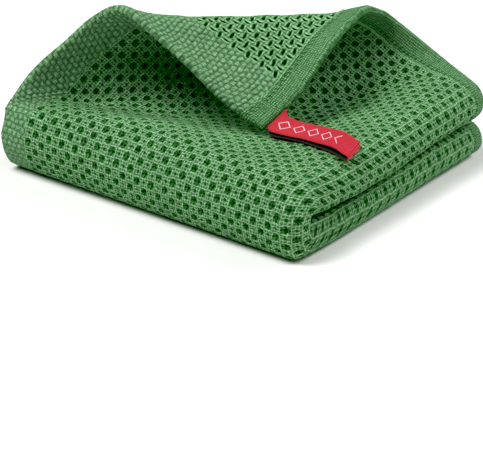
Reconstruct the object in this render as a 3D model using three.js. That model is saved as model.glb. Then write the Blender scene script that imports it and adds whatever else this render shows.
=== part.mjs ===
// Dishcloth: one square of thick waffle weave cotton, folded in quarters, with the corner of its
// top layer lifted, curled over and laid forward, and a folded ribbon label in the seam of that corner.
//
// Millimetres, +Z up, resting on z = 0. A point of the cloth is named by two lengths measured on the
// flat square from its middle: v is the distance from the first fold and u the distance from the second.
//   v > 0 is the outer layer after the first fold, v < 0 the inner one.
//   u > 0 is the upper half after the second fold, u < 0 the lower one.
// The first fold lies along the +X side and shows two rolls, the second along the -Y side and shows one.

import * as THREE from "three";

// Cloth as cut and hemmed
const clothSide = 305;
const thickness = 2.6;
const half = clothSide / 2;
const skin = thickness / 2;

// Where the folded stack lies, before it is centred
const firstFoldX = 2.5;
const secondFoldY = -7;
const secondFoldBow = 1.5;
const openSideX = -145;
const openSideY = 133;

// Heights of the folded stack: the roll along the first fold is read from the second fold to the open side
const firstFoldRim = [
  { at: 0, crevice: 15, top: 30.5 },
  { at: 18, crevice: 13.2, top: 30.6 },
  { at: 38, crevice: 11.2, top: 31 },
  { at: 75, crevice: 12.6, top: 32 },
  { at: 115, crevice: 15.2, top: 33.5 },
  { at: 152.5, crevice: 16, top: 34.5 },
];
const openSideRise = 6;
const rollGap = 0.3;
const topLayerHeight = 21.5;
const upperPairSpread = 7;
const lowerPairSpread = 6;
const settleFromFirstFold = 52;
const settleFromSecondFold = 56;
const lowerRollSquash = 0.62;
const tightestBend = 1.9;
// Inner layers stop short of the outer ones and ripple a little; the lower half reaches a little further
const innerShort = 2;
const lowerLong = 1.2;
const ripple = { height: 0.7, every: 105 };

// The curled corner. Each edge is a line in space, read along the cloth from a fold to the corner.
const wideHemEdge = [
  { at: 9.8, x: -145, y: -5, z: 28 },
  { at: 15.6, x: -144.5, y: -2, z: 31.5 },
  { at: 28.3, x: -140, y: 5, z: 41.5 },
  { at: 45, x: -131.5, y: 15, z: 53 },
  { at: 60.6, x: -122, y: 22.5, z: 64.2 },
  { at: 74.3, x: -112, y: 26, z: 70.4 },
  { at: 86, x: -101, y: 27.5, z: 66.5 },
  { at: 102.6, x: -86.5, y: 29.5, z: 57.6 },
  { at: 120.2, x: -72.5, y: 32, z: 47.5 },
  { at: 136.9, x: -60, y: 34.3, z: 38 },
  { at: 152.5, x: -44.7, y: 37, z: 30 },
];
const narrowHemEdge = [
  { at: 9.8, x: -6.5, y: 133, z: 35.5 },
  { at: 19.6, x: -12, y: 133, z: 37 },
  { at: 35.2, x: -24.5, y: 131.5, z: 44.5 },
  { at: 52.8, x: -36.5, y: 125, z: 54.5 },
  { at: 64.5, x: -40, y: 118, z: 59.9 },
  { at: 75.3, x: -41.3, y: 108.4, z: 63.5 },
  { at: 86, x: -40.3, y: 96.5, z: 62.7 },
  { at: 100.7, x: -37.8, y: 80.5, z: 60 },
  { at: 116.3, x: -38, y: 67, z: 51.2 },
  { at: 131, x: -39.5, y: 55.5, z: 41.5 },
  { at: 138.8, x: -41, y: 49.5, z: 37.5 },
  { at: 152.5, x: -44.7, y: 37, z: 30 },
];
// Between the two edges the curl follows this section, taken across its crest:
// at is the distance on the cloth from the folded corner, back the distance over the ground.
const curlSection = [
  { at: 80, back: 67, z: 24 },
  { at: 106, back: 91, z: 24.5 },
  { at: 122, back: 105, z: 31 },
  { at: 136, back: 112.5, z: 43 },
  { at: 148, back: 111, z: 55 },
  { at: 156, back: 105, z: 61 },
  { at: 163, back: 98, z: 61.5 },
  { at: 175, back: 89, z: 55.5 },
  { at: 195, back: 73.5, z: 43 },
  { at: 215.5, back: 57.9, z: 30 },
];
// The crest crosses the wide hem and the narrow hem at these distances from the folds.
const crestOnWideHem = 74.3;
const crestOnNarrowHem = 80.2;
const liftFrom = { middle: 72, sides: 110 };
const liftFull = { middle: 118, sides: 138 };
const edgeReach = 50;

// Folded ribbon label: both plies leave the seam together and part towards the fold
const ribbonThickness = 1;
const ribbonWidth = 11.3;
const seamGap = 0.95;
const labelOnHem = 145.7;
const labelLine = [
  { at: 4.5, x: -38.9, y: 40.4, upper: 33.7, lower: 31.9, lean: 0.33, lowerLean: 0.3, skew: 0.1 },
  { at: 11.2, x: -32.2, y: 40.6, upper: 33.2, lower: 31.25, lean: 0.22, lowerLean: 0.08, skew: -0.05 },
  { at: 18.9, x: -24.5, y: 40.4, upper: 33.8, lower: 31.75, lean: 0.2, lowerLean: 0.05, skew: -0.05 },
  { at: 27.2, x: -16.3, y: 39.2, upper: 34.4, lower: 32.2, lean: 0.22, lowerLean: 0.04, skew: -0.1 },
  { at: 35.1, x: -8.6, y: 37.8, upper: 35.2, lower: 32.4, lean: 0.24, lowerLean: 0.04, skew: -0.15 },
  { at: 43.2, x: -0.9, y: 35.4, upper: 34.9, lower: 32.1, lean: 0.22, lowerLean: 0.05, skew: -0.15 },
];

const colours = { cotton: 0x5f9d66, ribbon: 0xdc3347 };

const mix = (a, b, w) => a + (b - a) * w;
const ease = (from, to, x) => {
  const t = Math.min(Math.max((x - from) / (to - from), 0), 1);
  return t * t * (3 - 2 * t);
};

// Smooth curve through the rows of a table: every column but `at` is read at distance s.
function read(rows, s) {
  const columns = Object.keys(rows[0]).filter((name) => name !== "at");
  const last = rows.length - 1;
  const place = Math.min(Math.max(s, rows[0].at), rows[last].at);
  let i = rows.findIndex((row) => row.at > place) - 1;
  if (i < 0) i = last - 1;
  const slope = (k, name) => {
    const a = rows[Math.max(k - 1, 0)];
    const b = rows[Math.min(k + 1, last)];
    return (b[name] - a[name]) / (b.at - a.at);
  };
  const span = rows[i + 1].at - rows[i].at;
  const t = (place - rows[i].at) / span;
  const values = {};
  for (const name of columns) {
    values[name] =
      (2 * t ** 3 - 3 * t ** 2 + 1) * rows[i][name] +
      (t ** 3 - 2 * t ** 2 + t) * span * slope(i, name) +
      (-2 * t ** 3 + 3 * t ** 2) * rows[i + 1][name] +
      (t ** 3 - t ** 2) * span * slope(i + 1, name);
  }
  return values;
}

// The square folded twice and settled, with no corner lifted.
function foldedPoint(u, v) {
  const s1 = Math.abs(v);
  const s2 = Math.abs(u);
  const upper = u >= 0;
  const side = v >= 0 ? 1 : -1;
  const outward = (s1 / half) ** 2;
  const rim = read(firstFoldRim, s2);
  const top = rim.top + openSideRise * outward;
  const toUpper = ease(-15, 15, u);

  // First fold: a round roll, then two layers that draw together
  const roll = mix(rim.crevice / 2, (top - rim.crevice) / 2, toUpper) - skin - rollGap;
  const spread = mix(lowerPairSpread, upperPairSpread, toUpper) / 2;
  const rollLength = (Math.PI / 2) * roll;
  const turn1 = Math.min(s1 / roll, Math.PI / 2);
  const settled1 = ease(0, settleFromFirstFold, s1 - rollLength);
  const apart = roll * Math.sin(turn1) + (spread - roll) * settled1;
  const inner = ease(15, 70, -v);
  const endX = openSideX + innerShort * inner - lowerLong * ease(20, 80, -u);
  const reachX = (firstFoldX - endX - roll) / (half - rollLength);
  const x = firstFoldX - roll * (1 - Math.cos(turn1)) - Math.max(s1 - rollLength, 0) * reachX;

  // Second fold: both layers bend round together, the inner one on the smaller radius
  const outerRadius = top / 2 - skin;
  const held = s1 < rollLength ? roll : apart;
  const radius = Math.max(outerRadius - held + apart * side, tightestBend);
  const bendLength = (Math.PI / 2) * radius;
  const turn2 = Math.min(s2 / radius, Math.PI / 2);
  const settled2 = ease(0, settleFromSecondFold, s2 - bendLength);
  const squash = upper ? 1 : lowerRollSquash;
  const front = secondFoldY - secondFoldBow * outward + outerRadius - radius;
  const bendEnd = front + radius * squash;
  const endY = openSideY - innerShort * inner + lowerLong * (upper ? 0 : 1);
  const reachY = (endY - bendEnd) / (half - bendLength);
  const y =
    front + radius * (1 - Math.cos(turn2)) * squash + Math.max(s2 - bendLength, 0) * reachY;

  const upperPair = mix((top + rim.crevice) / 2, topLayerHeight - upperPairSpread / 2, settled1);
  const lowerPair = skin + mix(roll, lowerPairSpread / 2, settled1);
  const lying = upper ? upperPair + apart * side : lowerPair - apart * side;
  const bending = top / 2 + (upper ? 1 : -1) * radius * Math.sin(turn2);
  const wave = Math.sin((2 * Math.PI * (s1 + s2 * (upper ? 1.4 : 0.6))) / ripple.every);
  const z = mix(bending, lying, settled2) + ripple.height * wave * inner * settled2;
  return new THREE.Vector3(x, y, z);
}

// Directions on the flat cloth: along the crest of the curl, and across it towards the corner
const along = new THREE.Vector2(half - crestOnWideHem, crestOnNarrowHem - half).normalize();
const across = new THREE.Vector2(-along.y, along.x);
const overGround = new THREE.Vector3(-across.y, across.x, 0);
const sideways = new THREE.Vector3(across.x, across.y, 0);
const startOnEdge = wideHemEdge[0].at;

const tablePoint = (rows, s) => {
  const p = read(rows, s);
  return new THREE.Vector3(p.x, p.y, p.z);
};
const wideEdgePoint = (u) => tablePoint(wideHemEdge, u);
const narrowEdgePoint = (v) => tablePoint(narrowHemEdge, v);

// The curl as lines laid across it, each from the wide hem edge to the narrow hem edge.
function curledPoint(u, v) {
  const distance = u * across.x + v * across.y;
  const uOnWide = (distance - half * across.y) / across.x;
  const vOnNarrow = (distance - half * across.x) / across.y;
  let wideUV = [uOnWide, half];
  let narrowUV = [half, vOnNarrow];
  let a;
  let b;
  if (uOnWide >= startOnEdge) {
    a = wideEdgePoint(uOnWide);
  } else {
    wideUV = [startOnEdge, (distance - startOnEdge * across.x) / across.y];
    a = foldedPoint(...wideUV);
  }
  if (vOnNarrow >= startOnEdge) {
    b = narrowEdgePoint(vOnNarrow);
  } else {
    narrowUV = [(distance - startOnEdge * across.y) / across.x, startOnEdge];
    b = foldedPoint(...narrowUV);
  }
  const placeOf = (pair) => pair[0] * along.x + pair[1] * along.y;
  const span = Math.max(placeOf(narrowUV) - placeOf(wideUV), 0.001);
  const w = Math.min(Math.max((placeOf([u, v]) - placeOf(wideUV)) / span, 0), 1);
  const arch = 4 * w * (1 - w);
  const bow = arch * (2 - arch);
  const middle = a.clone().add(b).multiplyScalar(0.5);
  const section = read(curlSection, distance);
  const wanted = overGround.clone().multiplyScalar(section.back);
  wanted.addScaledVector(sideways, middle.dot(sideways));
  wanted.z = section.z;
  return a.lerp(b, w).addScaledVector(wanted.sub(middle), bow);
}

// The upper outer layer: folded at the front, carried by its two edges at the sides, curled behind.
function topPoint(u, v) {
  const distance = u * across.x + v * across.y;
  const place = u * along.x + v * along.y;
  const sides = Math.min(Math.abs(place) / 105, 1) ** 2;
  const uOn = Math.max(u, startOnEdge);
  const vOn = Math.max(v, startOnEdge);
  const wideShift = wideEdgePoint(uOn).sub(foldedPoint(uOn, half));
  const narrowShift = narrowEdgePoint(vOn).sub(foldedPoint(half, vOn));
  const point = foldedPoint(u, v);
  point.addScaledVector(wideShift, 1 - ease(0, edgeReach, half - v));
  point.addScaledVector(narrowShift, 1 - ease(0, edgeReach, half - u));
  const from = mix(liftFrom.middle, liftFrom.sides, sides);
  const full = mix(liftFull.middle, liftFull.sides, sides);
  return point.lerp(curledPoint(u, v), ease(from, full, distance));
}

// The edge tables start on the folded stack itself.
Object.assign(wideHemEdge[0], foldedPoint(startOnEdge, half));
Object.assign(narrowHemEdge[0], foldedPoint(half, startOnEdge));

const clothPoint = (u, v) => (u > 0 && v > 0 ? topPoint(u, v) : foldedPoint(u, v));

// Outward direction of the cloth's face, from small steps along both lengths
function clothNormal(u, v) {
  const step = 0.4;
  const uA = Math.max(u - step, -half);
  const uB = Math.min(u + step, half);
  const vA = Math.max(v - step, -half);
  const vB = Math.min(v + step, half);
  const du = clothPoint(uB, v).sub(clothPoint(uA, v));
  const dv = clothPoint(u, vB).sub(clothPoint(u, vA));
  return du.cross(dv).normalize();
}

// Closed body of a sheet given by a grid of face points and a grid of back points
function sheetBody(face, back, name, colour) {
  const rows = face.length;
  const columns = face[0].length;
  const positions = [...face.flat(), ...back.flat()].flatMap((p) => [p.x, p.y, p.z]);
  const index = [];
  const at = (i, j, side) => side * rows * columns + i * columns + j;
  const quad = (a, b, c, d) => index.push(a, b, d, b, c, d);
  for (let i = 0; i < rows - 1; i++) {
    for (let j = 0; j < columns - 1; j++) {
      quad(at(i, j, 0), at(i + 1, j, 0), at(i + 1, j + 1, 0), at(i, j + 1, 0));
      quad(at(i, j, 1), at(i, j + 1, 1), at(i + 1, j + 1, 1), at(i + 1, j, 1));
    }
  }
  const lastRow = rows - 1;
  const lastColumn = columns - 1;
  for (let j = 0; j < lastColumn; j++) {
    quad(at(0, j, 1), at(0, j, 0), at(0, j + 1, 0), at(0, j + 1, 1));
    quad(at(lastRow, j, 0), at(lastRow, j, 1), at(lastRow, j + 1, 1), at(lastRow, j + 1, 0));
  }
  for (let i = 0; i < lastRow; i++) {
    quad(at(i, 0, 0), at(i, 0, 1), at(i + 1, 0, 1), at(i + 1, 0, 0));
    quad(at(i, lastColumn, 1), at(i, lastColumn, 0), at(i + 1, lastColumn, 0), at(i + 1, lastColumn, 1));
  }
  const geometry = new THREE.BufferGeometry();
  geometry.setAttribute("position", new THREE.Float32BufferAttribute(positions, 3));
  geometry.setIndex(index);
  geometry.computeVertexNormals();
  const material = new THREE.MeshStandardMaterial({ color: colour, roughness: 0.95, metalness: 0 });
  const mesh = new THREE.Mesh(geometry, material);
  mesh.name = name;
  return mesh;
}

// Places across the cloth, close together in the folds and where the corner curls
function clothPlaces() {
  const foldZone = 30;
  const stops = [];
  const coarse = 8;
  const fine = 20;
  const inFold = 7;
  for (let i = 0; i < coarse; i++) stops.push(mix(-half, -foldZone, i / coarse));
  for (let i = inFold; i > 0; i--) stops.push(-foldZone * (i / inFold) ** 1.3);
  for (let i = 0; i < inFold; i++) stops.push(foldZone * (i / inFold) ** 1.3);
  for (let i = 0; i <= fine; i++) stops.push(mix(foldZone, half, i / fine));
  return stops;
}

function makeCloth() {
  const places = clothPlaces();
  const face = [];
  const back = [];
  for (const u of places) {
    const faceRow = [];
    const backRow = [];
    for (const v of places) {
      const point = clothPoint(u, v);
      const normal = clothNormal(u, v);
      faceRow.push(point.clone().addScaledVector(normal, skin));
      backRow.push(point.clone().addScaledVector(normal, -skin));
    }
    face.push(faceRow);
    back.push(backRow);
  }
  return sheetBody(face, back, "dishcloth", colours.cotton);
}

// The ribbon: out along the upper ply, round the fold and back along the lower ply
function makeLabel() {
  const hem = clothPoint(half, labelOnHem);
  const outward = hem.clone().sub(clothPoint(half - 1, labelOnHem)).normalize();
  const hemAcross = clothPoint(half, labelOnHem - 2).sub(clothPoint(half, labelOnHem + 2)).normalize();
  const start = hem.clone().addScaledVector(outward, seamGap);
  const plyStep = ribbonThickness / 2 + 0.15;
  const first = { at: 0, x: start.x, y: start.y, upper: start.z + plyStep, lower: start.z - plyStep };
  first.lean = hemAcross.z;
  first.lowerLean = hemAcross.z;
  first.skew = hemAcross.x;
  const line = [first, ...labelLine];
  const end = line[line.length - 1];
  const stations = 14;
  const foldSteps = 6;
  const path = [];
  // share runs from 0 on the upper ply to 1 on the lower one
  const place = (s, share) => {
    const row = read(line, s);
    const lean = mix(row.lean, row.lowerLean, share);
    const level = Math.sqrt(1 - lean ** 2 - row.skew ** 2);
    path.push({
      point: new THREE.Vector3(row.x, row.y, mix(row.upper, row.lower, share)),
      across: new THREE.Vector3(row.skew, level, lean),
    });
  };
  for (let i = 0; i <= stations; i++) place((end.at * i) / stations, 0);
  const radius = (end.upper - end.lower) / 2;
  for (let i = 1; i < foldSteps; i++) {
    const turn = (Math.PI * i) / foldSteps;
    place(end.at, (1 - Math.cos(turn)) / 2);
    path[path.length - 1].point.x += radius * Math.sin(turn);
  }
  for (let i = stations; i >= 0; i--) place((end.at * i) / stations, 1);
  const face = [];
  const back = [];
  const strips = 4;
  path.forEach((stop, i) => {
    const before = path[Math.max(i - 1, 0)].point;
    const after = path[Math.min(i + 1, path.length - 1)].point;
    const forward = after.clone().sub(before).normalize();
    const normal = forward.clone().cross(stop.across).normalize();
    const faceRow = [];
    const backRow = [];
    for (let j = 0; j <= strips; j++) {
      const offset = ribbonWidth * (j / strips - 0.5);
      const point = stop.point.clone().addScaledVector(stop.across, offset);
      faceRow.push(point.clone().addScaledVector(normal, ribbonThickness / 2));
      backRow.push(point.clone().addScaledVector(normal, -ribbonThickness / 2));
    }
    face.push(faceRow);
    back.push(backRow);
  });
  return sheetBody(face, back, "label", colours.ribbon);
}

const group = new THREE.Group();
group.add(makeCloth());
group.add(makeLabel());

// Centre the part over the origin, its underside on z = 0
const box = new THREE.Box3().setFromObject(group, true);
const centre = box.getCenter(new THREE.Vector3());
group.position.set(-centre.x, -centre.y, -box.min.z);

export default group;
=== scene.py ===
import math

import bpy
import numpy as np
from mathutils import Matrix, Vector


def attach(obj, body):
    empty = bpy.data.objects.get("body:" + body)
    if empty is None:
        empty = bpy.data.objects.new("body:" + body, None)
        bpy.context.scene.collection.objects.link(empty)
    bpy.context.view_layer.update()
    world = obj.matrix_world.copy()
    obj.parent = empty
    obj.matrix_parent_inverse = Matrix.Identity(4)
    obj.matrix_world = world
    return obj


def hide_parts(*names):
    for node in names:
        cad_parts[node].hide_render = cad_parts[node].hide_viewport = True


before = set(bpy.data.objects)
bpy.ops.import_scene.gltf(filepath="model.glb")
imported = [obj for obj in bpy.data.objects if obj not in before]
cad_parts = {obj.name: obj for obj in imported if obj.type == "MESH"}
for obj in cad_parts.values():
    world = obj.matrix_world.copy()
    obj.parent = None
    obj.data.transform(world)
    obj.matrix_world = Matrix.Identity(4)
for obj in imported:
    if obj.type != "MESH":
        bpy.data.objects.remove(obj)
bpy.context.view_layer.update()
print("frame loaded:", ", ".join(sorted(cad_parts)))

# A waffle weave dishcloth, folded in quarters, its top corner curled over and laid forward.
# Sizes are in mm and become metres when a mesh is made. A point of the cloth is named by
# u, its distance from the second fold, and v, its distance from the first one:
# v > 0 is the outer layer, u > 0 the upper half.

mm = 0.001
tiny = 0.001  # added where nothing could be divided by


def linearColour(hexColour):
    channels = [int(hexColour[i:i + 2], 16) / 255 for i in (1, 3, 5)]
    return tuple(c / 12.92 if c <= 0.04045 else ((c + 0.055) / 1.055) ** 2.4 for c in channels) + (1.0,)


def smoothStep(start, end, x):
    t = np.clip((x - start) / (end - start), 0, 1)
    return t * t * (3 - 2 * t)


def mix(a, b, w):
    return a + (b - a) * w


def readCurve(table, name, s):
    # a smooth curve through the values of one column, read at distance s
    at = np.array(table["at"], float)
    values = np.array(table[name], float)
    slopes = np.gradient(values, at, edge_order=1)
    slopes[1:-1] = (values[2:] - values[:-2]) / (at[2:] - at[:-2])
    s = np.clip(s, at[0], at[-1])
    i = np.clip(np.searchsorted(at, s, side="right") - 1, 0, len(at) - 2)
    span = at[i + 1] - at[i]
    t = (s - at[i]) / span
    return (
        (2 * t**3 - 3 * t**2 + 1) * values[i]
        + (t**3 - 2 * t**2 + t) * span * slopes[i]
        + (3 * t**2 - 2 * t**3) * values[i + 1]
        + (t**3 - t**2) * span * slopes[i + 1]
    )


# The way the cloth lies
fold = {
    "side": 305,
    "thickness": 2.6,
    "firstFoldX": 2.5,
    "secondFoldY": -7,
    "secondFoldBow": 1.5,
    "openSideX": -145,
    "openSideY": 133,
    "openSideRise": 6,
    "rollGap": 0.3,
    "topLayerHeight": 21.5,
    "upperPairSpread": 7,
    "lowerPairSpread": 6,
    "settleFromFirstFold": 52,
    "settleFromSecondFold": 56,
    "lowerRollSquash": 0.62,
    "tightestBend": 1.9,
    "innerShort": 2,
    "lowerLong": 1.2,
    "halvesBlend": 15,       # from the second fold to where each half has its own shape
    "innerSettles": (15, 70),
    "lowerSettles": (20, 80),
    "rippleHeight": 0.7,
    "rippleEvery": 105,
    "rippleSlant": (1.4, 0.6),  # on the upper half, on the lower half
    "toMiddle": (71.2, -62.22),  # from the folded corner to the middle of the footprint
}
firstFoldRim = {
    "at": [0, 18, 38, 75, 115, 152.5],
    "crevice": [15, 13.2, 11.2, 12.6, 15.2, 16],
    "top": [30.5, 30.6, 31, 32, 33.5, 34.5],
}
wideHemEdge = {
    "at": [9.8, 15.6, 28.3, 45, 60.6, 74.3, 86, 102.6, 120.2, 136.9, 152.5],
    "x": [-145, -144.5, -140, -131.5, -122, -112, -101, -86.5, -72.5, -60, -44.7],
    "y": [-5, -2, 5, 15, 22.5, 26, 27.5, 29.5, 32, 34.3, 37],
    "z": [28, 31.5, 41.5, 53, 64.2, 70.4, 66.5, 57.6, 47.5, 38, 30],
}
narrowHemEdge = {
    "at": [9.8, 19.6, 35.2, 52.8, 64.5, 75.3, 86, 100.7, 116.3, 131, 138.8, 152.5],
    "x": [-6.5, -12, -24.5, -36.5, -40, -41.3, -40.3, -37.8, -38, -39.5, -41, -44.7],
    "y": [133, 133, 131.5, 125, 118, 108.4, 96.5, 80.5, 67, 55.5, 49.5, 37],
    "z": [35.5, 37, 44.5, 54.5, 59.9, 63.5, 62.7, 60, 51.2, 41.5, 37.5, 30],
}
curlSection = {
    "at": [80, 106, 122, 136, 148, 156, 163, 175, 195, 215.5],
    "back": [67, 91, 105, 112.5, 111, 105, 98, 89, 73.5, 57.9],
    "z": [24, 24.5, 31, 43, 55, 61, 61.5, 55.5, 43, 30],
}
curl = {
    "crestOnWideHem": 74.3,
    "crestOnNarrowHem": 80.2,
    "liftFromMiddle": 72,
    "liftFromSides": 110,
    "liftFullMiddle": 118,
    "liftFullSides": 138,
    "edgeReach": 50,
    "middleToSide": 105,
}
half = fold["side"] / 2
skin = fold["thickness"] / 2


def foldedPlace(u, v):
    s1, s2 = np.abs(v), np.abs(u)
    upper = u >= 0
    side = np.where(v >= 0, 1.0, -1.0)
    outward = (s1 / half) ** 2
    crevice = readCurve(firstFoldRim, "crevice", s2)
    top = readCurve(firstFoldRim, "top", s2) + fold["openSideRise"] * outward
    toUpper = smoothStep(-fold["halvesBlend"], fold["halvesBlend"], u)
    inner = smoothStep(*fold["innerSettles"], -v)

    # first fold: a round roll, then two layers that draw together
    roll = mix(crevice / 2, (top - crevice) / 2, toUpper) - skin - fold["rollGap"]
    spread = mix(fold["lowerPairSpread"], fold["upperPairSpread"], toUpper) / 2
    rollLength = math.pi / 2 * roll
    turn1 = np.minimum(s1 / roll, math.pi / 2)
    settled1 = smoothStep(0, fold["settleFromFirstFold"], s1 - rollLength)
    apart = roll * np.sin(turn1) + (spread - roll) * settled1
    longer = fold["lowerLong"] * smoothStep(*fold["lowerSettles"], -u)
    endX = fold["openSideX"] + fold["innerShort"] * inner - longer
    reachX = (fold["firstFoldX"] - endX - roll) / (half - rollLength)
    x = fold["firstFoldX"] - roll * (1 - np.cos(turn1)) - np.maximum(s1 - rollLength, 0) * reachX

    # second fold: both layers bend round together, the inner one on the smaller radius
    outerRadius = top / 2 - skin
    held = np.where(s1 < rollLength, roll, apart)
    radius = np.maximum(outerRadius - held + apart * side, fold["tightestBend"])
    bendLength = math.pi / 2 * radius
    turn2 = np.minimum(s2 / radius, math.pi / 2)
    settled2 = smoothStep(0, fold["settleFromSecondFold"], s2 - bendLength)
    squash = np.where(upper, 1.0, fold["lowerRollSquash"])
    front = fold["secondFoldY"] - fold["secondFoldBow"] * outward + outerRadius - radius
    bendEnd = front + radius * squash
    endY = fold["openSideY"] - fold["innerShort"] * inner + np.where(upper, 0, fold["lowerLong"])
    reachY = (endY - bendEnd) / (half - bendLength)
    y = front + radius * (1 - np.cos(turn2)) * squash + np.maximum(s2 - bendLength, 0) * reachY

    upperPair = mix((top + crevice) / 2, fold["topLayerHeight"] - fold["upperPairSpread"] / 2, settled1)
    lowerPair = skin + mix(roll, fold["lowerPairSpread"] / 2, settled1)
    lying = np.where(upper, upperPair + apart * side, lowerPair - apart * side)
    bending = top / 2 + np.where(upper, 1, -1) * radius * np.sin(turn2)
    wave = np.sin(2 * math.pi * (s1 + s2 * np.where(upper, *fold["rippleSlant"])) / fold["rippleEvery"])
    z = mix(bending, lying, settled2) + fold["rippleHeight"] * wave * inner * settled2
    return np.stack([x, y, z], -1)


# directions on the flat cloth: along the crest of the curl, and across it towards the corner
along = np.array([half - curl["crestOnWideHem"], curl["crestOnNarrowHem"] - half])
along = along / np.linalg.norm(along)
across = np.array([-along[1], along[0]])
overGround = np.array([-across[1], across[0], 0])
sideways = np.array([across[0], across[1], 0])
startOnEdge = wideHemEdge["at"][0]

# the edge tables start on the folded stack itself
for edgeTable, place in ((wideHemEdge, (startOnEdge, half)), (narrowHemEdge, (half, startOnEdge))):
    startPoint = foldedPlace(np.array(float(place[0])), np.array(float(place[1])))
    for axisName, value in zip("xyz", startPoint):
        edgeTable[axisName][0] = float(value)


def edgePlace(table, s):
    return np.stack([readCurve(table, name, s) for name in "xyz"], -1)


def curledPlace(u, v):
    # lines laid across the curl, each from the wide hem edge to the narrow hem edge
    distance = u * across[0] + v * across[1]
    uOnWide = (distance - half * across[1]) / across[0]
    vOnNarrow = (distance - half * across[0]) / across[1]
    vBefore = (distance - startOnEdge * across[0]) / across[1]
    uBefore = (distance - startOnEdge * across[1]) / across[0]
    onWide, onNarrow = uOnWide >= startOnEdge, vOnNarrow >= startOnEdge
    a = np.where(
        onWide[..., None],
        edgePlace(wideHemEdge, uOnWide),
        foldedPlace(np.full_like(distance, startOnEdge), vBefore),
    )
    b = np.where(
        onNarrow[..., None],
        edgePlace(narrowHemEdge, vOnNarrow),
        foldedPlace(uBefore, np.full_like(distance, startOnEdge)),
    )
    fromPlace = np.where(
        onWide, uOnWide * along[0] + half * along[1], startOnEdge * along[0] + vBefore * along[1]
    )
    toPlace = np.where(
        onNarrow, half * along[0] + vOnNarrow * along[1], uBefore * along[0] + startOnEdge * along[1]
    )
    w = np.clip((u * along[0] + v * along[1] - fromPlace) / np.maximum(toPlace - fromPlace, tiny), 0, 1)
    arch = 4 * w * (1 - w)
    bow = (arch * (2 - arch))[..., None]
    middle = (a + b) / 2
    wanted = overGround * readCurve(curlSection, "back", distance)[..., None]
    wanted = wanted + sideways * (middle @ sideways)[..., None]
    wanted[..., 2] = readCurve(curlSection, "z", distance)
    return mix(a, b, w[..., None]) + (wanted - middle) * bow


def topPlace(u, v):
    # the upper outer layer: folded in front, carried by its two edges at the sides, curled behind
    distance = u * across[0] + v * across[1]
    sides = np.minimum(np.abs(u * along[0] + v * along[1]) / curl["middleToSide"], 1) ** 2
    uOn, vOn = np.clip(u, startOnEdge, half), np.clip(v, startOnEdge, half)
    edge = np.full_like(u, half)
    wideShift = edgePlace(wideHemEdge, uOn) - foldedPlace(uOn, edge)
    narrowShift = edgePlace(narrowHemEdge, vOn) - foldedPlace(edge, vOn)
    place = foldedPlace(u, v)
    place = place + wideShift * (1 - smoothStep(0, curl["edgeReach"], half - v))[..., None]
    place = place + narrowShift * (1 - smoothStep(0, curl["edgeReach"], half - u))[..., None]
    liftFrom = mix(curl["liftFromMiddle"], curl["liftFromSides"], sides)
    liftFull = mix(curl["liftFullMiddle"], curl["liftFullSides"], sides)
    return mix(place, curledPlace(u, v), smoothStep(liftFrom, liftFull, distance)[..., None])


def clothPlace(u, v):
    onTop = (u > 0) & (v > 0)
    return np.where(onTop[..., None], topPlace(u, v), foldedPlace(u, v))


def clothNormal(u, v):
    step = 0.4
    uA, uB = np.maximum(u - step, -half), np.minimum(u + step, half)
    vA, vB = np.maximum(v - step, -half), np.minimum(v + step, half)
    normal = np.cross(clothPlace(uB, v) - clothPlace(uA, v), clothPlace(u, vB) - clothPlace(u, vA))
    return normal / np.linalg.norm(normal, axis=-1, keepdims=True)


def toMetres(points):
    shifted = np.array(points, float)
    shifted[..., 0] += fold["toMiddle"][0]
    shifted[..., 1] += fold["toMiddle"][1]
    return shifted * mm


print("cloth shape ready")

# The weave, as relief on the sheet
weave = {
    "cell": 3.6,             # from the middle of a pit to the middle of the knot beside it
    "proud": 0.35,           # how far the ridges stand over the plain thickness
    "faceBorder": 13.6,      # basket woven border along the edges that face the first fold
    "reverseBorder": 21.5,   # its weave runs deeper on the reverse
    "narrowHem": 10.2,       # turned and stitched hem along the other two edges
    "hemFace": 0.1,          # its relief on the face, and on the reverse, where it is turned over
    "hemReverse": 0.9,
    "turnedHem": 0.5,        # the border is turned over on the reverse
    "grooveAt": 1.4,         # the stitches pull a groove along the narrow hem
    "grooveWidth": 0.7,
    "grooveDepth": 0.45,
    "blendOver": 0.5,        # either side of a line where one weave passes into another
    "rimRound": 0.35,        # how far outside its rim a hole begins to sink
    "knobAlong": 2.7,        # basket weave: from knob to knob in a row, and from row to row
    "knobAcross": 2.3,
    "knobHeight": 0.45,
    "drift": 0.45,           # how far the threads wander from straight lines
    "calmFolds": 12,         # no wandering at the folds and the edges, full from here
    "calmEdges": 14,
    "waveHeight": 0.35,      # unevenness of the whole sheet
    "fineStep": 0.9,         # mesh rows, where the weave shows
    "coarseStep": 4.8,       # and on the layers folded inside
    "fineFrom": -17.55,
    "nearEdge": (1.1, 0.45, 0.0),
    "holesFade": (-20, -16),  # no holes on the coarse rows
    "edgeRound": 1.5,
    "plain": (6, 14),        # past the first fold the relief of the inner layers fades out here
}
# holes of the weave: half their size along u and along v, their slant and their depth;
# a round pit of the face is a narrow upright slot on the reverse, a knot a lying one
faceHoles = {
    "pit": {"alongU": 1.55, "alongV": 1.5, "slant": 0, "depth": 1.5, "wall": 1.5},
    "knot": {"alongU": 0.6, "alongV": 0.8, "slant": 0.2, "depth": 0.6, "wall": 0.4},
}
reverseHoles = {
    "pit": {"alongU": 1.1, "alongV": 0.5, "slant": 0.1, "depth": 0.75, "wall": 0.4},
    "knot": {"alongU": 0.75, "alongV": 1.6, "slant": 0.35, "depth": 1.0, "wall": 0.6},
}
faceBorderStart = half - weave["faceBorder"]
reverseBorderStart = half - weave["reverseBorder"]
hemStart = half - weave["narrowHem"]


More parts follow.
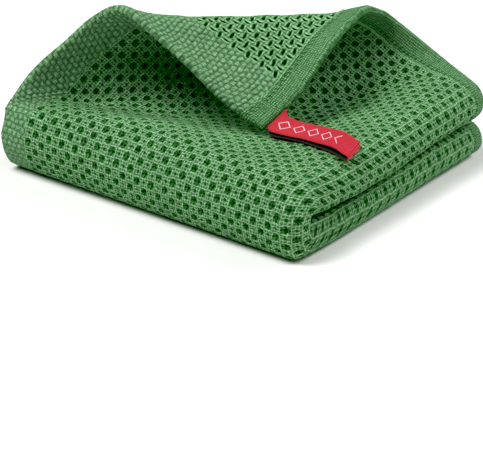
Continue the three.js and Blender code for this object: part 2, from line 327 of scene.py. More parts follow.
def threadPlaces():
    # rows of the mesh: four from a pit to the knot beside it where the weave shows, few elsewhere
    fine = np.arange(weave["fineFrom"], half - weave["edgeRound"], weave["fineStep"])
    coarse = np.arange(weave["fineFrom"], 2 - half, -weave["coarseStep"])[:0:-1]
    nearEdge = half - np.array(weave["nearEdge"])
    return np.concatenate([-nearEdge[::-1], coarse, fine, nearEdge])


def knobs(u, v):
    # basket weave, 1 on top of a knob, each row half a knob on from the one below
    acrossRow = np.sin(math.pi * u / weave["knobAcross"])
    turnV = math.pi * v / weave["knobAlong"]
    return np.sqrt(np.abs(acrossRow * np.where(acrossRow > 0, np.sin(turnV), np.cos(turnV))))


def wrapped(x, size):
    return (x + size / 2) % size - size / 2


def fromRim(u, v, hole, shift):
    # mm outside the rim of the nearest hole, less than nothing inside it
    p, q = wrapped((u + shift + v) / 2, weave["cell"]), wrapped((u + shift - v) / 2, weave["cell"])
    dv = p - q
    du = p + q - hole["slant"] * dv
    reach = np.sqrt((du / hole["alongU"]) ** 2 + (dv / hole["alongV"]) ** 2) + tiny
    return np.hypot(du, dv) * (1 - 1 / reach)


def relief(u, v, onFace):
    # mm from the middle of the sheet to its surface
    shown = smoothStep(*weave["holesFade"], u) * smoothStep(*weave["holesFade"], v)
    body = np.full_like(u, weave["proud"])
    for name, hole in (faceHoles if onFace else reverseHoles).items():
        outside = fromRim(u, v, hole, weave["cell"] if name == "knot" else 0)
        body = body - hole["depth"] * (1 - smoothStep(-hole["wall"], weave["rimRound"], outside)) * shown
    border = weave["knobHeight"] * np.where((u > 0) & (v > 0), knobs(u, v), 0.5)
    border = border + (0 if onFace else weave["turnedHem"])
    hem = np.full_like(u, weave["hemFace"] if onFace else weave["hemReverse"])
    groove = np.exp(-(((np.abs(u) - hemStart - weave["grooveAt"]) / weave["grooveWidth"]) ** 2))
    hem = hem - weave["grooveDepth"] * groove
    borderStart = faceBorderStart if onFace else reverseBorderStart
    over = weave["blendOver"]
    onBorder = smoothStep(borderStart - over, borderStart + over, np.abs(v))
    onHem = smoothStep(hemStart - over, hemStart + over, np.abs(u))
    height = mix(mix(body, border, onBorder), hem, onHem)
    height = height * (1 - smoothStep(*weave["plain"], -v))
    inward = np.minimum(half - np.abs(u), half - np.abs(v)) / weave["edgeRound"]
    rounding = np.sqrt(1 - (1 - np.clip(inward, 0.03, 1)) ** 2)
    return (skin + height) * rounding


def drift(u, v):
    # slow uneven pull of the threads, by waves of unlike lengths, nothing at the edges and the folds
    calm = 1.0
    for fromFold in (np.abs(u), np.abs(v)):
        calm = calm * np.clip(fromFold / weave["calmFolds"], 0, 1)
    for fromFold in (np.abs(u), np.abs(v)):
        calm = calm * np.clip((half - fromFold) / weave["calmEdges"], 0, 1)
    du = np.sin(u * 0.11 + 1.3 * np.sin(v * 0.071)) + 0.6 * np.sin(v * 0.23 + u * 0.05)
    dv = np.sin(v * 0.13 + 1.1 * np.sin(u * 0.083 + 2)) + 0.6 * np.sin(u * 0.19 - v * 0.06)
    return du * calm * weave["drift"], dv * calm * weave["drift"]


def softWave(u, v):
    # a little unevenness of the whole sheet, the same for both of its sides, none on the inner layers
    height = weave["waveHeight"] * (1 - smoothStep(*weave["plain"], -v))
    slant = np.sin(u * 0.17 + 2.1 * np.sin(v * 0.09))
    return height * slant * np.sin(v * 0.15 + 1.4 * np.sin(u * 0.07))


def makeMesh(name, points, faces, uvs, materials, zones):
    mesh = bpy.data.meshes.new(name)
    mesh.from_pydata(toMetres(points).tolist(), [], faces.tolist())
    layer = mesh.uv_layers.new(name="clothPlace")
    loops = np.zeros(len(mesh.loops), np.int32)
    mesh.loops.foreach_get("vertex_index", loops)
    layer.data.foreach_set("uv", (uvs[loops] * mm).astype(np.float32).ravel())
    for material in materials:
        mesh.materials.append(material)
    mesh.polygons.foreach_set("material_index", zones.astype(np.int32))
    mesh.polygons.foreach_set("use_smooth", np.ones(len(faces), bool))
    mesh.update()
    piece = bpy.data.objects.new(name, mesh)
    bpy.context.scene.collection.objects.link(piece)
    return piece


def sheetFaces(rows, columns):
    # quads of a closed sheet: its face, its back, then its four edges
    i, j = np.meshgrid(np.arange(rows - 1), np.arange(columns - 1), indexing="ij")
    a, b = (i * columns + j).ravel(), ((i + 1) * columns + j).ravel()
    back = rows * columns
    front = np.stack([a, b, b + 1, a + 1], 1)
    rear = np.stack([a, a + 1, b + 1, b], 1) + back
    j = np.arange(columns - 1)
    i = np.arange(rows - 1) * columns
    low, high = j, (rows - 1) * columns + j
    left, right = i, i + columns - 1
    edges = [
        np.stack([low + back, low, low + 1, low + 1 + back], 1),
        np.stack([high, high + back, high + 1 + back, high + 1], 1),
        np.stack([left, left + back, left + columns + back, left + columns], 1),
        np.stack([right + back, right, right + columns, right + columns + back], 1),
    ]
    return front, rear, edges


# Materials
def addNode(tree, kind, settings=None, links=None):
    node = tree.nodes.new(kind)
    for name, value in (settings or {}).items():
        if isinstance(name, str) and hasattr(node, name):
            setattr(node, name, value)
        else:
            node.inputs[name].default_value = value
    for socket, source in (links or {}).items():
        tree.links.new(source, node.inputs[socket])
    return node


def calc(tree, operation, first, second=None, third=None):
    links, settings = {}, {"operation": operation}
    for socket, value in enumerate((first, second, third)):
        if isinstance(value, (int, float)):
            settings[socket] = float(value)
        elif value is not None:
            links[socket] = value
    return addNode(tree, "ShaderNodeMath", settings, links).outputs[0]


def addNoise(tree, place, scale, detail):
    return addNode(tree, "ShaderNodeTexNoise", {"Scale": scale, "Detail": detail}, {"Vector": place}).outputs


def fabricMaterial(name, roughness, sheen, specular=0.25, glow="#ffffff"):
    # glow is the colour of the light that the fibres throw back
    material = bpy.data.materials.new(name)
    material.use_nodes = True
    tree = material.node_tree
    tree.nodes.clear()
    shader = addNode(tree, "ShaderNodeBsdfPrincipled", {
        "Roughness": roughness,
        "IOR": 1.5,
        "Specular IOR Level": specular,
        "Sheen Weight": sheen,
        "Sheen Roughness": 0.5,
        "Specular Tint": linearColour(glow),
        "Sheen Tint": linearColour(glow),
        "Metallic": 0.0,
    })
    addNode(tree, "ShaderNodeOutputMaterial", {}, {"Surface": shader.outputs[0]})
    return material, tree, shader


def colourRamp(tree, factor, stops):
    ramp = addNode(tree, "ShaderNodeValToRGB", {}, {0: factor})
    elements = ramp.color_ramp.elements
    while len(elements) < len(stops):
        elements.new(0.5)
    for element, (place, hexColour) in zip(elements, stops):
        element.position = place
        element.color = linearColour(hexColour)
    return ramp.outputs[0]


cotton = {
    "bright": "#89b088",     # yarns that lie on top
    "light": "#6a9868",
    "middle": "#3a6f38",
    # painted shade: the next two colours darken the cotton towards the bottom of the holes of the weave
    "deep": "#124114",
    "pit": "#032606",
    "bottom": "#4a8148",     # loose yarns across the bottom of a hole
    "yarn": 1.2,             # mm between yarns, coarser than real so that they show from 0.75 m away
    "loop": 0.8,             # mm between the yarns that go round a hole
    "glow": "#3f9a3c",
    "roughness": 0.92,
    "sheen": 0.1,
    "specular": 0.2,
    "patches": (0.9, 1.1),   # slow unevenness of the dye
    "lengths": (0.7, 1.3),   # lighter and darker lengths of yarn
    "slubs": (0.5, 1.5),
    "fibres": (0.6, 1.4),
}
# noise scales of the unevenness, finer as they grow
grain = {
    "wander": 260.0,
    "fray": 900.0,
    "patches": 35.0,
    "lengths": 420.0,
    "loose": 650.0,
    "slubs": 800.0,
    "fibres": 1700.0,
    "thread": 900.0,
    "ribbon": 500.0,
}


def cottonMaterial(name):
    # dyed right through: even the light off the surface of a fibre is green
    return fabricMaterial(name, cotton["roughness"], cotton["sheen"], cotton["specular"], cotton["glow"])


def pushAbout(tree, place, scale, by):
    # place moved up to half of by (mm) either way, by noise
    centred = addNode(
        tree, "ShaderNodeVectorMath", {"operation": "SUBTRACT", 1: (0.5, 0.5, 0.5)},
        {0: addNoise(tree, place, scale, 2.0)["Color"]},
    )
    return addNode(
        tree, "ShaderNodeVectorMath", {"operation": "MULTIPLY_ADD", 1: (by * mm,) * 3},
        {0: centred.outputs[0], 2: place},
    ).outputs[0]


def clothCoordinates(tree, wander, fray):
    # u and v in mm: threads wander slowly, so that no line of them is ruled, and their edges fray
    uv = addNode(tree, "ShaderNodeUVMap", {"uv_map": "clothPlace"}).outputs[0]
    place = pushAbout(tree, pushAbout(tree, uv, grain["wander"], wander), grain["fray"], fray)
    split = addNode(tree, "ShaderNodeSeparateXYZ", {}, {0: place})
    u = calc(tree, "MULTIPLY", split.outputs[1], 1000)
    v = calc(tree, "MULTIPLY", split.outputs[0], 1000)
    return place, u, v


def finishFabric(tree, shader, colour, height, depth):
    tree.links.new(colour, shader.inputs["Base Color"])
    bump = addNode(tree, "ShaderNodeBump", {"Strength": 1.0, "Distance": depth * mm}, {"Height": height})
    tree.links.new(bump.outputs[0], shader.inputs["Normal"])


def shadeBy(tree, colour, factor, limits):
    # colour times a grey that runs from the low to the high limit with factor
    grey = addNode(tree, "ShaderNodeMapRange", {"To Min": limits[0], "To Max": limits[1]}, {0: factor})
    return addNode(
        tree, "ShaderNodeMix", {"data_type": "RGBA", "blend_type": "MULTIPLY", 0: 1.0},
        {6: colour, 7: grey.outputs[0]},
    ).outputs[2]


def stripes(tree, place, every):
    # smooth stripes from 0 to 1, one at each multiple of every
    turns = calc(tree, "MULTIPLY", place, 2 * math.pi / every)
    return calc(tree, "MULTIPLY_ADD", calc(tree, "COSINE", turns), 0.5, 0.5)


def ramp(tree, value, start, end):
    # from 0 to 1 while value goes from start to end
    return addNode(
        tree, "ShaderNodeMapRange", {"interpolation_type": "SMOOTHSTEP", "From Min": start, "From Max": end},
        {0: value},
    ).outputs[0]


def unevenCotton(tree, uv, colour):
    # slow patches from the dye, lengths of yarn, and their fibres
    patches = addNoise(tree, uv, grain["patches"], 3.0)[0]
    fibres = addNoise(tree, uv, grain["fibres"], 2.0)[0]
    lengths = addNoise(tree, uv, grain["lengths"], 1.0)[0]
    colour = shadeBy(tree, colour, patches, cotton["patches"])
    colour = shadeBy(tree, colour, lengths, cotton["lengths"])
    return shadeBy(tree, colour, fibres, cotton["fibres"]), fibres


def slubby(tree, uv, colour):
    # thick and thin places in the yarn, about 1 mm across
    slubs = addNoise(tree, uv, grain["slubs"], 2.0)[0]
    return shadeBy(tree, colour, slubs, cotton["slubs"]), slubs


def blend(tree, factor, first, second, kind="FLOAT"):
    # from first to second as factor goes from 0 to 1; either may be one fixed colour
    settings, links = {"data_type": kind}, {0: factor}
    for socket, value in zip((2, 3) if kind == "FLOAT" else (6, 7), (first, second)):
        if isinstance(value, tuple):
            settings[socket] = value
        else:
            links[socket] = value
    return addNode(tree, "ShaderNodeMix", settings, links).outputs[0 if kind == "FLOAT" else 2]


def rimNodes(tree, u, v, hole, shift):
    # the same distance as fromRim, for a material
    moved = calc(tree, "ADD", u, shift)
    reach = weave["cell"] / 2
    p = calc(tree, "WRAP", calc(tree, "MULTIPLY", calc(tree, "ADD", moved, v), 0.5), reach, -reach)
    q = calc(tree, "WRAP", calc(tree, "MULTIPLY", calc(tree, "SUBTRACT", moved, v), 0.5), reach, -reach)
    dv = calc(tree, "SUBTRACT", p, q)
    du = calc(tree, "MULTIPLY_ADD", dv, -hole["slant"], calc(tree, "ADD", p, q))

    def lengthOf(first, second):
        square = calc(tree, "MULTIPLY", second, second)
        return calc(tree, "SQRT", calc(tree, "MULTIPLY_ADD", first, first, square))

    inRadii = lengthOf(calc(tree, "DIVIDE", du, hole["alongU"]), calc(tree, "DIVIDE", dv, hole["alongV"]))
    share = calc(tree, "SUBTRACT", 1, calc(tree, "DIVIDE", 1, calc(tree, "ADD", inRadii, tiny)))
    return calc(tree, "MULTIPLY", lengthOf(du, dv), share)


# yarns of the waffle: stops give the colour at so many mm outside the rim of a hole; the darker stops inside
# a hole are painted shade
faceYarns = {
    "wander": 1.1,
    "fray": 0.8,
    "contrast": (0.35, 1.5),
    "threadRise": (0.45, 1.0),
    "threadShare": 0.8,
    "loopFrom": 0.3,         # mm from the rim to the first yarn round a hole
    "loopShare": 0.2,
    "stops": [
        (-1.25, "pit"), (-0.85, "deep"), (-0.3, "middle"), (0.15, "light"), (0.4, "bright"), (0.75, "light"),
    ],
}
reverseYarns = {
    "wander": 1.3,
    "fray": 0.7,
    "contrast": (0.38, 1.22),
    "strandRise": (0.15, 0.75),
    "change": 0.08,          # how softly the pairs take turns on top
    "tuckUnder": (0.6, 0.05),  # the pair below shows only near the change
    "belowShare": 0.75,
    "stops": [
        (-0.6, "pit"), (-0.25, "deep"), (0.0, "middle"), (0.25, "light"), (0.6, "bright"), (1.1, "light"),
    ],
}
# where the loose yarns in a hole fade in, mm from its rim inwards and outwards; then the bump
holeBottom = {"fromRim": (0.0, -0.5), "fromMiddle": (-1.5, -0.7), "patches": (0.35, 0.6), "share": 0.9}
waffleBump = {"strands": 0.6, "slope": (-0.8, 0.3), "fibres": 0.4, "depth": 0.8}


def netOfThreads(tree, u, v, rim):
    # the face: straight threads both ways, some looped round the holes
    between = cotton["yarn"] / 2
    threads = calc(
        tree, "MAXIMUM", stripes(tree, calc(tree, "ADD", u, between), cotton["yarn"]),
        stripes(tree, calc(tree, "ADD", v, between), cotton["yarn"]),
    )
    loops = stripes(tree, calc(tree, "SUBTRACT", rim, faceYarns["loopFrom"]), cotton["loop"])
    threads = calc(tree, "MULTIPLY", ramp(tree, threads, *faceYarns["threadRise"]), faceYarns["threadShare"])
    return calc(tree, "MULTIPLY_ADD", loops, faceYarns["loopShare"], threads)


def pairsOfStrands(tree, u, v, rim):
    # the reverse: two strands to each slot, the lying pairs and the upright ones take turns on top
    every = weave["cell"] / 2
    rise = reverseYarns["strandRise"]
    lying = ramp(tree, stripes(tree, calc(tree, "ADD", u, every / 2), every), *rise)
    upright = ramp(tree, stripes(tree, calc(tree, "ADD", v, every / 2), every), *rise)
    turnU, turnV = (calc(tree, "MULTIPLY", place, math.pi / weave["cell"]) for place in (u, v))
    check = calc(tree, "MULTIPLY", calc(tree, "COSINE", turnU), calc(tree, "COSINE", turnV))
    isUpright = ramp(tree, check, -reverseYarns["change"], reverseYarns["change"])
    onTop = blend(tree, isUpright, lying, upright)
    below = blend(tree, isUpright, upright, lying)
    tucked = ramp(tree, calc(tree, "ABSOLUTE", check), *reverseYarns["tuckUnder"])
    below = calc(tree, "MULTIPLY", below, tucked)
    return calc(tree, "MAXIMUM", onTop, calc(tree, "MULTIPLY", below, reverseYarns["belowShare"]))


def waffleMaterial(name, holes, yarns, strandsOf):
    # woven cotton: the yarns between the holes catch the light, and the colour is painted darker down into
    # each hole, a painted shade at its bottom
    material, tree, shader = cottonMaterial(name)
    uv, u, v = clothCoordinates(tree, yarns["wander"], yarns["fray"])
    pit = rimNodes(tree, u, v, holes["pit"], 0)
    knot = rimNodes(tree, u, v, holes["knot"], weave["cell"])
    rim = calc(tree, "MINIMUM", pit, knot)
    perMm = 0.25  # the ramp runs from 2 mm inside the rim to 2 mm outside it
    # painted shade: the colour darkens from the rim down into each hole
    colour = colourRamp(
        tree, calc(tree, "MULTIPLY_ADD", rim, perMm, 0.5),
        [(0.5 + perMm * place, cotton[shade]) for place, shade in yarns["stops"]],
    )
    strands = strandsOf(tree, u, v, rim)
    loose = ramp(tree, addNoise(tree, uv, grain["loose"], 1.0)[0], *holeBottom["patches"])
    atBottom = calc(
        tree, "MULTIPLY", ramp(tree, rim, *holeBottom["fromRim"]), ramp(tree, rim, *holeBottom["fromMiddle"]),
    )
    atBottom = calc(tree, "MULTIPLY", calc(tree, "MULTIPLY", atBottom, strands), loose)
    atBottom = calc(tree, "MULTIPLY", atBottom, holeBottom["share"])
    colour = blend(tree, atBottom, colour, linearColour(cotton["bottom"]), "RGBA")
    colour = shadeBy(tree, colour, strands, yarns["contrast"])
    colour, fibres = unevenCotton(tree, uv, colour)
    slope = ramp(tree, rim, *waffleBump["slope"])
    height = calc(tree, "MULTIPLY_ADD", strands, waffleBump["strands"], slope)
    height = calc(tree, "MULTIPLY_ADD", fibres, waffleBump["fibres"], height)
    finishFabric(tree, shader, colour, height, waffleBump["depth"])
    return material


basket = {
    "wander": 1.8,
    "fray": 0.9,
    # painted shade in the seams between the knobs, rising to a painted highlight on their tops
    "stops": [(0.05, "#4c7e4e"), (0.5, "#6c946b"), (0.95, "#86ae85")],
    "yarnU": 0.8,
    "yarnV": 0.9,
    "contrast": (0.7, 1.35),
    "bumpSlubs": 0.8,
    "bumpFibres": 0.5,
    "bumpDepth": 0.7,
}


def basketMaterial():
    # cotton in a basket weave: plump knobs in rows, each row half a knob on from the one below, painted
    # darker in the seams between them and lighter on their tops
    material, tree, shader = cottonMaterial("basketWeaveCotton")
    uv, u, v = clothCoordinates(tree, basket["wander"], basket["fray"])
    acrossRow = calc(tree, "SINE", calc(tree, "MULTIPLY", u, math.pi / weave["knobAcross"]))
    turnV = calc(tree, "MULTIPLY", v, math.pi / weave["knobAlong"])
    alongRow = blend(
        tree, calc(tree, "GREATER_THAN", acrossRow, 0), calc(tree, "ABSOLUTE", calc(tree, "COSINE", turnV)),
        calc(tree, "ABSOLUTE", calc(tree, "SINE", turnV)),
    )
    knob = calc(tree, "SQRT", calc(tree, "MULTIPLY", calc(tree, "ABSOLUTE", acrossRow), alongRow))
    # painted shade in the seams, painted highlight on the knobs
    colour = colourRamp(tree, knob, basket["stops"])
    yarns = calc(tree, "MULTIPLY", stripes(tree, u, basket["yarnU"]), stripes(tree, v, basket["yarnV"]))
    colour = shadeBy(tree, colour, yarns, basket["contrast"])
    colour, slubs = slubby(tree, uv, colour)
    colour, fibres = unevenCotton(tree, uv, colour)
    height = calc(tree, "MULTIPLY_ADD", fibres, basket["bumpFibres"], knob)
    height = calc(tree, "MULTIPLY_ADD", slubs, basket["bumpSlubs"], height)
    finishFabric(tree, shader, colour, height, basket["bumpDepth"])
    return material


# places across the hem are in mm from where it starts
hemTape = {
    "wander": 1.4,
    "fray": 0.7,
    "yarnU": 1.0,
    "yarnV": 0.9,
    "stops": [(0.0, "#406c41"), (0.5, "#70986f"), (1.0, "#99c098")],
    # painted highlight along the folded edge of the hem: its colour, where it begins and ends, and its share
    "edge": "#86bb83",
    "foldHighlightRise": (0.1, 0.4),
    "foldHighlightFall": (1.1, 0.7),
    "foldHighlightShare": 0.7,
    "tick": "#22571f",
    "seamRise": (1.5, 1.9),
    "seamFall": (3.6, 3.1),
    "tickEvery": 2.3,
    "tickRise": (0.6, 0.95),
    "tickShare": 0.75,
    "bumpThreads": 0.5,
    "bumpTicks": -0.8,
    "bumpSlubs": 1.0,
    "bumpFibres": 1.2,
    "bumpDepth": 0.5,
}


def band(tree, value, rise, fall):
    # 1 between the end of the rise and the end of the fall, 0 outside both
    return calc(tree, "MULTIPLY", ramp(tree, value, *rise), ramp(tree, value, *fall))


def plainHemMaterial():
    # plain woven cotton tape: fine even threads, a painted highlight along its folded edge and a row of small
    # stitches
    material, tree, shader = cottonMaterial("plainWeaveHem")
    uv, u, v = clothCoordinates(tree, hemTape["wander"], hemTape["fray"])
    threads = calc(tree, "MULTIPLY", stripes(tree, u, hemTape["yarnU"]), stripes(tree, v, hemTape["yarnV"]))
    colour = colourRamp(tree, threads, hemTape["stops"])
    inward = calc(tree, "SUBTRACT", calc(tree, "ABSOLUTE", u), hemStart)
    # painted highlight along the folded edge
    foldHighlight = band(tree, inward, hemTape["foldHighlightRise"], hemTape["foldHighlightFall"])
    foldHighlight = calc(tree, "MULTIPLY", foldHighlight, hemTape["foldHighlightShare"])
    colour = blend(tree, foldHighlight, colour, linearColour(hemTape["edge"]), "RGBA")
    slanted = calc(tree, "MULTIPLY_ADD", u, 0.5, v)
    ticks = ramp(tree, stripes(tree, slanted, hemTape["tickEvery"]), *hemTape["tickRise"])
    ticks = calc(tree, "MULTIPLY", ticks, band(tree, inward, hemTape["seamRise"], hemTape["seamFall"]))
    shownTicks = calc(tree, "MULTIPLY", ticks, hemTape["tickShare"])
    colour = blend(tree, shownTicks, colour, linearColour(hemTape["tick"]), "RGBA")
    colour, slubs = slubby(tree, uv, colour)
    colour, fibres = unevenCotton(tree, uv, colour)
    height = calc(tree, "MULTIPLY", ticks, hemTape["bumpTicks"])
    height = calc(tree, "MULTIPLY_ADD", threads, hemTape["bumpThreads"], height)
    height = calc(tree, "MULTIPLY_ADD", slubs, hemTape["bumpSlubs"], height)
    height = calc(tree, "MULTIPLY_ADD", fibres, hemTape["bumpFibres"], height)
    finishFabric(tree, shader, colour, height, hemTape["bumpDepth"])
    return material


clothMaterials = [
    waffleMaterial("waffleWeaveCotton", faceHoles, faceYarns, netOfThreads),
    waffleMaterial("waffleWeaveReverse", reverseHoles, reverseYarns, pairsOfStrands),
    basketMaterial(),
    plainHemMaterial(),
]
print("cotton materials ready")


# The cloth
zoneNumber = {"face": 0, "reverse": 1, "border": 2, "hem": 3}  # places in clothMaterials


def makeCloth():
    places = threadPlaces()
    u, v = np.meshgrid(places, places, indexing="ij")
    du, dv = drift(u, v)
    uOn, vOn = u + du, v + dv
    middle = clothPlace(uOn, vOn)
    normal = clothNormal(uOn, vOn)
    underneath = (u < 0) & (v > 0)
    waves = np.where(underneath, 0, softWave(u, v))
    front = middle + normal * (relief(u, v, True) + waves)[..., None]
    rear = middle - normal * (relief(u, v, False) - waves)[..., None]
    front[..., 2] = np.maximum(front[..., 2], 0)
    points = np.concatenate([front.reshape(-1, 3), rear.reshape(-1, 3)])
    uvs = np.stack([v.ravel(), u.ravel()], 1)
    uvs = np.concatenate([uvs, uvs])
    n = len(places)
    faces, backs, edges = sheetFaces(n, n)

    def zonesOf(quads, waffle, borderStart):
        centres = uvs[quads].mean(1)
        zone = np.full(len(quads), zoneNumber[waffle])
        zone[np.abs(centres[:, 0]) > borderStart] = zoneNumber["border"]
        zone[np.abs(centres[:, 1]) > hemStart] = zoneNumber["hem"]
        return zone

    zones = [zonesOf(faces, "face", faceBorderStart), zonesOf(backs, "reverse", reverseBorderStart)]
    zones = np.concatenate(zones + [zonesOf(e, "face", faceBorderStart) for e in edges])
    quads = np.concatenate([faces, backs] + edges)
    return makeMesh("foldedCloth", points, quads, uvs, clothMaterials, zones)


cloth = makeCloth()
print("cloth made:", len(cloth.data.polygons), "quads")

# The seam of the narrow hem
stitch = {
    "length": 2.6,
    "every": 3.0,
    "radius": 0.28,
    "fromHemStart": 0.6,
    "lift": 0.25,            # its middle over the cloth, and how far its ends go down from there
    "dive": 0.75,
    "firstAt": 3,            # mm from the corner
    "lastBefore": 2,
    "sides": 6,
    "rings": 5,
    "colours": ("#5f9f5d", "#93cb90"),
}


def makeStitches():
    # short tubes of sewing thread, one for each stitch, that dive into the cloth at both ends
    points, faces = [], []
    centres = np.arange(-half + stitch["firstAt"], half - stitch["lastBefore"], stitch["every"])
    turns = np.linspace(0, 2 * math.pi, stitch["sides"], endpoint=False)
    for uLine in (hemStart + stitch["fromHemStart"], -hemStart - stitch["fromHemStart"]):
        for onFace in (True, False):
            for centre in centres:
                steps = np.linspace(-0.5, 0.5, stitch["rings"])
                v = centre + steps * stitch["length"]
                u = np.full_like(v, uLine)
                middle, normal = clothPlace(u, v), clothNormal(u, v)
                side = 1 if onFace else -1
                lift = relief(u, v, onFace) + stitch["lift"] - stitch["dive"] * (2 * steps) ** 4
                line = middle + normal * side * lift[:, None]
                forward = np.gradient(line, axis=0)
                forward = forward / np.linalg.norm(forward, axis=1, keepdims=True)
                sideway = np.cross(forward, normal)
                first = len(points)
                for ring in range(stitch["rings"]):
                    for turn in turns:
                        offset = math.cos(turn) * sideway[ring] + math.sin(turn) * normal[ring]
                        points.append(line[ring] + offset * stitch["radius"])
                count = stitch["sides"]
                for ring in range(stitch["rings"] - 1):
                    for k in range(count):
                        a = first + ring * count + k
                        b = first + ring * count + (k + 1) % count
                        faces.append([a, b, b + count, a + count])
    points, faces = np.array(points), np.array(faces)
    return makeMesh("hemStitches", points, faces, points[:, :2], [threadMaterial()], np.zeros(len(faces)))


def threadMaterial():
    # cotton sewing thread: a shade lighter than the cloth, a little uneven
    material, tree, shader = fabricMaterial("cottonSewingThread", 0.7, 0.1, 0.35)
    place = addNode(tree, "ShaderNodeTexCoord").outputs["Object"]
    noise = addNoise(tree, place, grain["thread"], 1.0)[0]
    colour = colourRamp(tree, noise, list(zip((0.3, 0.7), stitch["colours"])))
    finishFabric(tree, shader, colour, noise, 0.1)
    return material


stitches = makeStitches()
print("stitches made")

# The folded ribbon label: two plies that leave the seam together and part towards the fold
label = {
    "width": 11.3,
    "thickness": 0.6,
    "seamGap": 0.95,         # from the hem's edge to the first row of the ribbon
    "seamStep": 0.65,        # each ply from the middle of the seam
    "onHem": 145.7,          # v of its middle on the narrow hem
    # the red of the ribbon, then painted shade in the troughs of its ribs and a painted highlight on their
    # tops
    "red": "#c4142e",
    "redShade": "#7c0a1c",
    "redHighlight": "#e04a60",
    # the inner side: dark navy, and painted shade between its ribs
    "inside": "#14162c",
    "insideShade": "#0c0e1e",
    "mark": "#e8c4cb",
    "glow": "#ffc0c8",
    "uneven": (0.85, 1.15),
    "edgeRound": 0.4,
    "stations": 72,          # rows of the mesh along a ply, round its fold, and strips across
    "foldSteps": 12,
    "strips": 18,
    "ribEvery": 0.8,
    "crossRibEvery": 0.6,
    "crossRibShare": 0.4,
    "markEvery": 7.2,
    "markSize": 2.7,
    "markLine": 0.5,
    "markFrom": 3.6,
    "markTo": 36,
}
# at so many mm from the seam: the middle of both plies, their heights, and how far a line across
# the label leans up and turns aside
labelLine = {
    "at": [0, 4.5, 11.2, 18.9, 27.2, 35.1, 43.2],
    "x": [0, -38.9, -32.2, -24.5, -16.3, -8.6, -0.9],
    "y": [0, 40.4, 40.6, 40.4, 39.2, 37.8, 35.4],
    "upper": [0, 33.7, 33.2, 33.9, 34.8, 35.7, 35.1],
    "lower": [0, 31.9, 31.25, 31.75, 32.2, 32.4, 32.1],
    "lean": [0, 0.33, 0.22, 0.2, 0.22, 0.24, 0.22],
    "lowerLean": [0, 0.3, 0.08, 0.05, 0.04, 0.04, 0.05],
    "skew": [0, 0.1, -0.05, -0.05, -0.1, -0.15, -0.15],
}


def hemPoint(u, v):
    return clothPlace(np.array(float(u)), np.array(float(v)))


def startLabel():
    # the first row of the label's line lies just outside the hem's edge
    hem = hemPoint(half, label["onHem"])
    outward = hem - hemPoint(half - 1, label["onHem"])
    outward = outward / np.linalg.norm(outward)
    reach = 2
    hemAcross = hemPoint(half, label["onHem"] - reach) - hemPoint(half, label["onHem"] + reach)
    hemAcross = hemAcross / np.linalg.norm(hemAcross)
    start = hem + outward * label["seamGap"]
    first = {
        "x": start[0], "y": start[1], "upper": start[2] + label["seamStep"],
        "lower": start[2] - label["seamStep"], "lean": hemAcross[2], "lowerLean": hemAcross[2],
        "skew": hemAcross[0],
    }
    for name, value in first.items():
        labelLine[name][0] = float(value)


def makeLabel():
    startLabel()
    end = labelLine["at"][-1]
    stations = np.linspace(0, end, label["stations"])
    turns = np.linspace(0, math.pi, label["foldSteps"])[1:-1]
    at = np.concatenate([stations, np.full(len(turns), end), stations[::-1]])
    share = np.concatenate([0 * stations, (1 - np.cos(turns)) / 2, 0 * stations + 1])
    row = {name: readCurve(labelLine, name, at) for name in labelLine if name != "at"}
    path = np.stack([row["x"], row["y"], mix(row["upper"], row["lower"], share)], 1)
    radius = (labelLine["upper"][-1] - labelLine["lower"][-1]) / 2
    path[len(stations):-len(stations), 0] += radius * np.sin(turns)
    lean, skew = mix(row["lean"], row["lowerLean"], share), row["skew"]
    acrossLabel = np.stack([skew, np.sqrt(1 - lean**2 - skew**2), lean], 1)
    forward = np.gradient(path, axis=0)
    forward = forward / np.linalg.norm(forward, axis=1, keepdims=True)
    normal = np.cross(forward, acrossLabel)
    normal = normal / np.linalg.norm(normal, axis=1, keepdims=True)
    strips = label["strips"]
    offsets = label["width"] * (np.arange(strips + 1) / strips - 0.5)
    length = np.concatenate([[0], np.cumsum(np.linalg.norm(np.diff(path, axis=0), axis=1))])
    edge = 1 - np.clip((label["width"] / 2 - np.abs(offsets)) / label["edgeRound"], 0.02, 1)
    rounding = np.sqrt(1 - edge**2)
    face = path[:, None] + acrossLabel[:, None] * offsets[None, :, None]
    shell = normal[:, None] * (label["thickness"] / 2 * rounding)[None, :, None]
    points = np.concatenate([(face + shell).reshape(-1, 3), (face - shell).reshape(-1, 3)])
    uvs = np.stack(np.meshgrid(length, offsets, indexing="ij"), -1).reshape(-1, 2)
    uvs = np.concatenate([uvs, uvs])
    faces, backs, edges = sheetFaces(len(path), strips + 1)
    zones = np.concatenate([np.zeros(len(faces)), np.ones(len(backs))] + [np.zeros(len(e)) for e in edges])
    quads = np.concatenate([faces, backs] + edges)
    return makeMesh("labelRibbon", points, quads, uvs, [ribbonMaterial(), ribbonBackMaterial()], zones)


def labelCoordinates(tree):
    # mm along the label from its seam, and across it from its middle
    uv = addNode(tree, "ShaderNodeUVMap", {"uv_map": "clothPlace"}).outputs[0]
    split = addNode(tree, "ShaderNodeSeparateXYZ", {}, {0: uv})
    alongLabel = calc(tree, "MULTIPLY", split.outputs[0], 1000.0)
    acrossLabel = calc(tree, "MULTIPLY", split.outputs[1], 1000.0)
    return uv, alongLabel, acrossLabel


